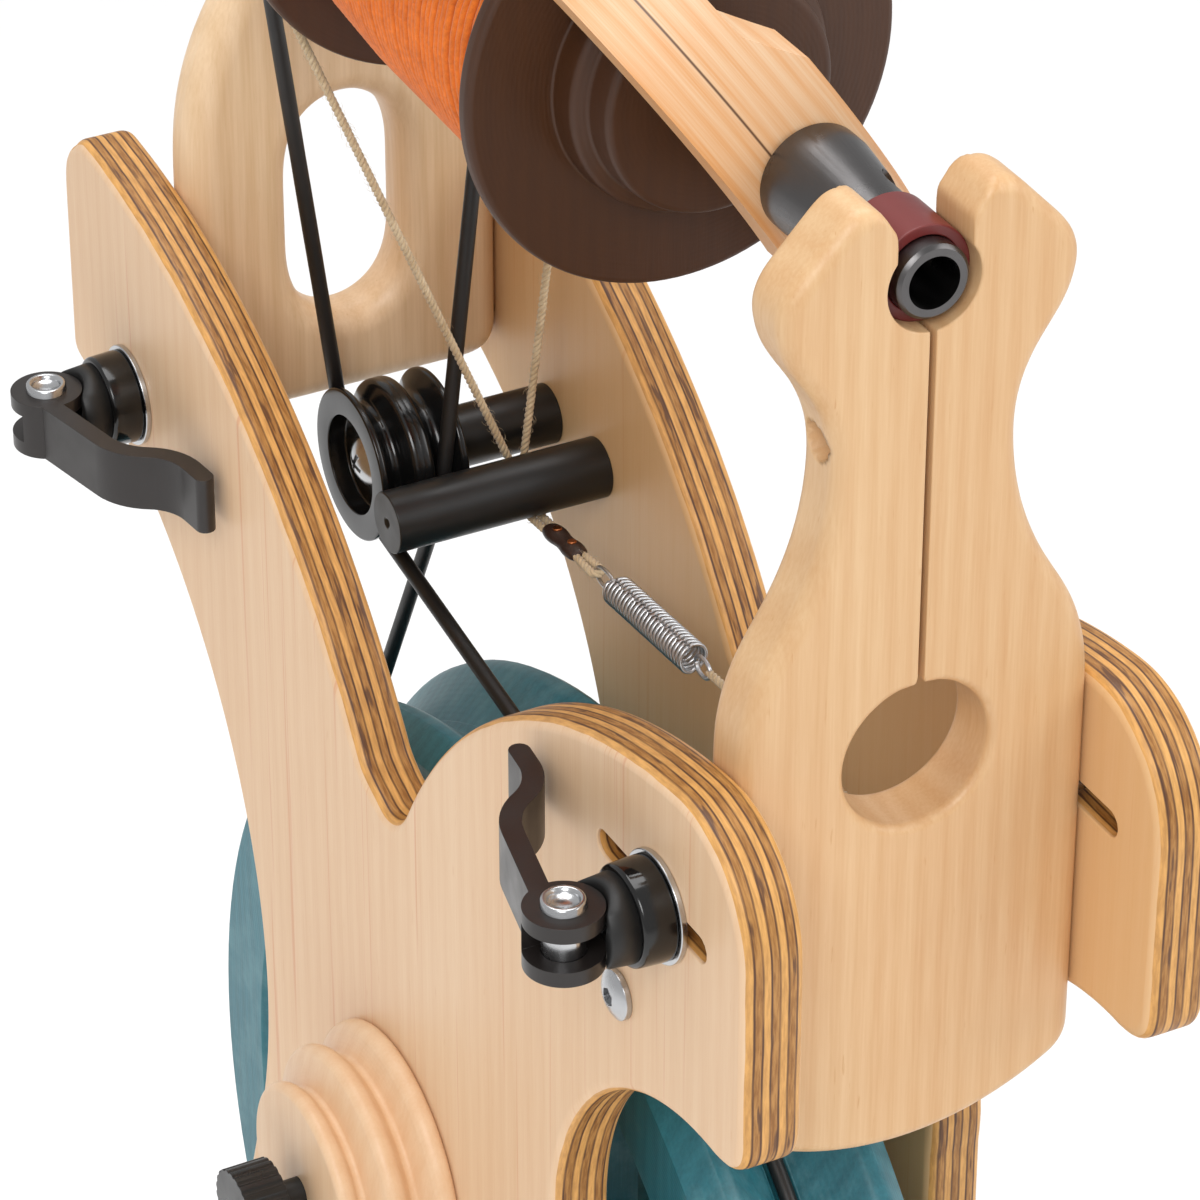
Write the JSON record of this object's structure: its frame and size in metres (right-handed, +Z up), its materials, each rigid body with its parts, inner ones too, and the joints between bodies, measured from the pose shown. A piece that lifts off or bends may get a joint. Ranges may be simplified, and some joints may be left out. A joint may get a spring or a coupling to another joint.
{
  "type": "travel spinning wheel",
  "caption": "Folding upright travel spinning wheel: plywood side panels, belt-driven flyer and bobbin between two maidens, scotch brake and hinged treadles.",
  "frame": {"origin": "on the floor, under the middle of the object's box", "axes": "+X to the right seen from the spinner's side, +Y to the back, +Z up; the front with the orifice and the treadles faces -Y"},
  "size_m": [0.226, 0.53, 0.6996],
  "materials": {
    "ply": "satin clear finish on veneered plywood",
    "maple": "satin clear finish",
    "teal_wood": "teal stain, satin",
    "dark_wood": "dark stain, satin",
    "steel": "bright",
    "black_metal": "satin black",
    "grey_metal": "dark grey, satin",
    "black_plastic": "matt black",
    "bush_plastic": "dark red brown",
    "belt": "matt black",
    "feet_rubber": "matt dark grey",
    "cord": "tan twisted cord",
    "leather": "dark brown",
    "copper": "bright copper",
    "spring_steel": "bright",
    "yarn": "orange wool"
  },
  "bodies": {
    "frame": {"side_panel_left": "ply", "side_panel_right": "ply", "front_spreader": "maple", "lower_spreaders": "maple", "spare_whorl": "maple", "frame_bolts": "steel", "axle_bearings": "steel", "treadle_axle": "steel", "rear_clamp_washer": "steel", "rear_clamp_barrel": "steel", "rear_clamp_rod": "steel", "idler_screw": "steel", "brake_eye": "steel", "rear_clamp_cup": "black_metal", "rear_clamp_nut": "black_metal", "idler_post": "black_metal", "brake_rod": "black_metal", "whorl_peg": "black_metal", "whorl_knob": "black_plastic", "drive_belt": "belt", "rubber_feet": "feet_rubber", "brake_cord": "cord", "brake_tail": "cord", "brake_tab": "leather", "brake_rivets": "copper", "brake_spring": "spring_steel"},
    "wheel": {"drive_wheel": "teal_wood", "wheel_axle": "steel", "crank_pins": "steel"},
    "footman_left": {"footman_left": "maple"},
    "footman_right": {"footman_right": "maple"},
    "lever_left": {"treadle_lever_left": "maple", "footman_pin_left": "steel"},
    "lever_right": {"treadle_lever_right": "maple", "footman_pin_right": "steel"},
    "treadle_left": {"treadle_left": "maple", "treadle_pin_left": "steel"},
    "treadle_right": {"treadle_right": "maple", "treadle_pin_right": "steel"},
    "front_maiden": {"front_maiden": "maple", "orifice_bush": "bush_plastic", "front_clamp_washer": "steel", "front_clamp_cup": "black_metal", "front_clamp_barrel": "steel", "front_clamp_rod": "steel", "front_clamp_nut": "black_metal"},
    "front_lever": {"front_clamp_lever": "black_metal"},
    "rear_maiden": {"rear_maiden": "maple", "rear_bush": "bush_plastic"},
    "rear_lever": {"rear_clamp_lever": "black_metal"},
    "idler_left": {"idler_pulley_left": "black_plastic"},
    "idler_right": {"idler_pulley_right": "black_plastic"},
    "flyer": {"flyer_yoke": "maple", "flyer_tube": "grey_metal", "flyer_shaft": "steel", "flyer_hooks": "steel", "flyer_whorl": "maple"},
    "bobbin": {"bobbin": "dark_wood", "yarn": "yarn"}
  },
  "joints": [
    {"name": "wheel_spin", "type": "hinge", "parent": "frame", "child": "wheel", "pos_m": [0, 0.093, 0.25], "axis": [1, 0, 0], "continuous": true},
    {"name": "flyer_spin", "type": "hinge", "parent": "frame", "child": "flyer", "pos_m": [0, 0.093, 0.636], "axis": [0, 1, 0], "continuous": true},
    {"name": "bobbin_spin", "type": "hinge", "parent": "flyer", "child": "bobbin", "pos_m": [0, 0.093, 0.636], "axis": [0, 1, 0], "continuous": true},
    {"name": "idler_left_spin", "type": "hinge", "parent": "frame", "child": "idler_left", "pos_m": [0, 0.1914, 0.458], "axis": [1, 0, 0], "continuous": true},
    {"name": "idler_right_spin", "type": "hinge", "parent": "frame", "child": "idler_right", "pos_m": [0, 0.1914, 0.458], "axis": [1, 0, 0], "continuous": true},
    {"name": "treadle_left_rock", "type": "hinge", "parent": "frame", "child": "lever_left", "pos_m": [0, -0.002, 0.052], "axis": [1, 0, 0], "range_deg": [-11, 11]},
    {"name": "treadle_right_rock", "type": "hinge", "parent": "frame", "child": "lever_right", "pos_m": [0, -0.002, 0.052], "axis": [1, 0, 0], "range_deg": [-11, 11]},
    {"name": "footman_left_swing", "type": "hinge", "parent": "lever_left", "child": "footman_left", "pos_m": [0, 0.113, 0.052], "axis": [1, 0, 0], "range_deg": [-11.5, 11.5]},
    {"name": "footman_right_swing", "type": "hinge", "parent": "lever_right", "child": "footman_right", "pos_m": [0, 0.113, 0.052], "axis": [1, 0, 0], "range_deg": [-11.5, 11.5]},
    {"name": "treadle_left_fold", "type": "hinge", "parent": "lever_left", "child": "treadle_left", "pos_m": [0, -0.119, 0.06], "axis": [-1, 0, 0], "range_deg": [0, 90]},
    {"name": "treadle_right_fold", "type": "hinge", "parent": "lever_right", "child": "treadle_right", "pos_m": [0, -0.119, 0.06], "axis": [-1, 0, 0], "range_deg": [0, 90]},
    {"name": "front_maiden_slide", "type": "slide", "parent": "frame", "child": "front_maiden", "axis": [0, -1, 0], "range_m": [0, 0.016]},
    {"name": "rear_maiden_tilt", "type": "hinge", "parent": "frame", "child": "rear_maiden", "pos_m": [0, 0.2255, 0.473], "axis": [-1, 0, 0], "range_deg": [0, 25]},
    {"name": "front_clamp_flip", "type": "hinge", "parent": "front_maiden", "child": "front_lever", "pos_m": [-0.0808, -0.06, 0.496], "axis": [0, 0, 1], "range_deg": [0, 170]},
    {"name": "rear_clamp_flip", "type": "hinge", "parent": "frame", "child": "rear_lever", "pos_m": [-0.0808, 0.2255, 0.473], "axis": [0, 0, -1], "range_deg": [0, 170]}
  ],
  "couplings": [
    {"joint": "flyer_spin", "follows": "wheel_spin", "ratio": -4.4901},
    {"joint": "idler_left_spin", "follows": "wheel_spin", "ratio": -9.4345},
    {"joint": "idler_right_spin", "follows": "wheel_spin", "ratio": -9.4345},
    {"joint": "treadle_right_rock", "follows": "treadle_left_rock", "ratio": -1},
    {"joint": "footman_left_swing", "follows": "treadle_left_rock", "ratio": -1},
    {"joint": "footman_right_swing", "follows": "treadle_left_rock", "ratio": 1}
  ]
}
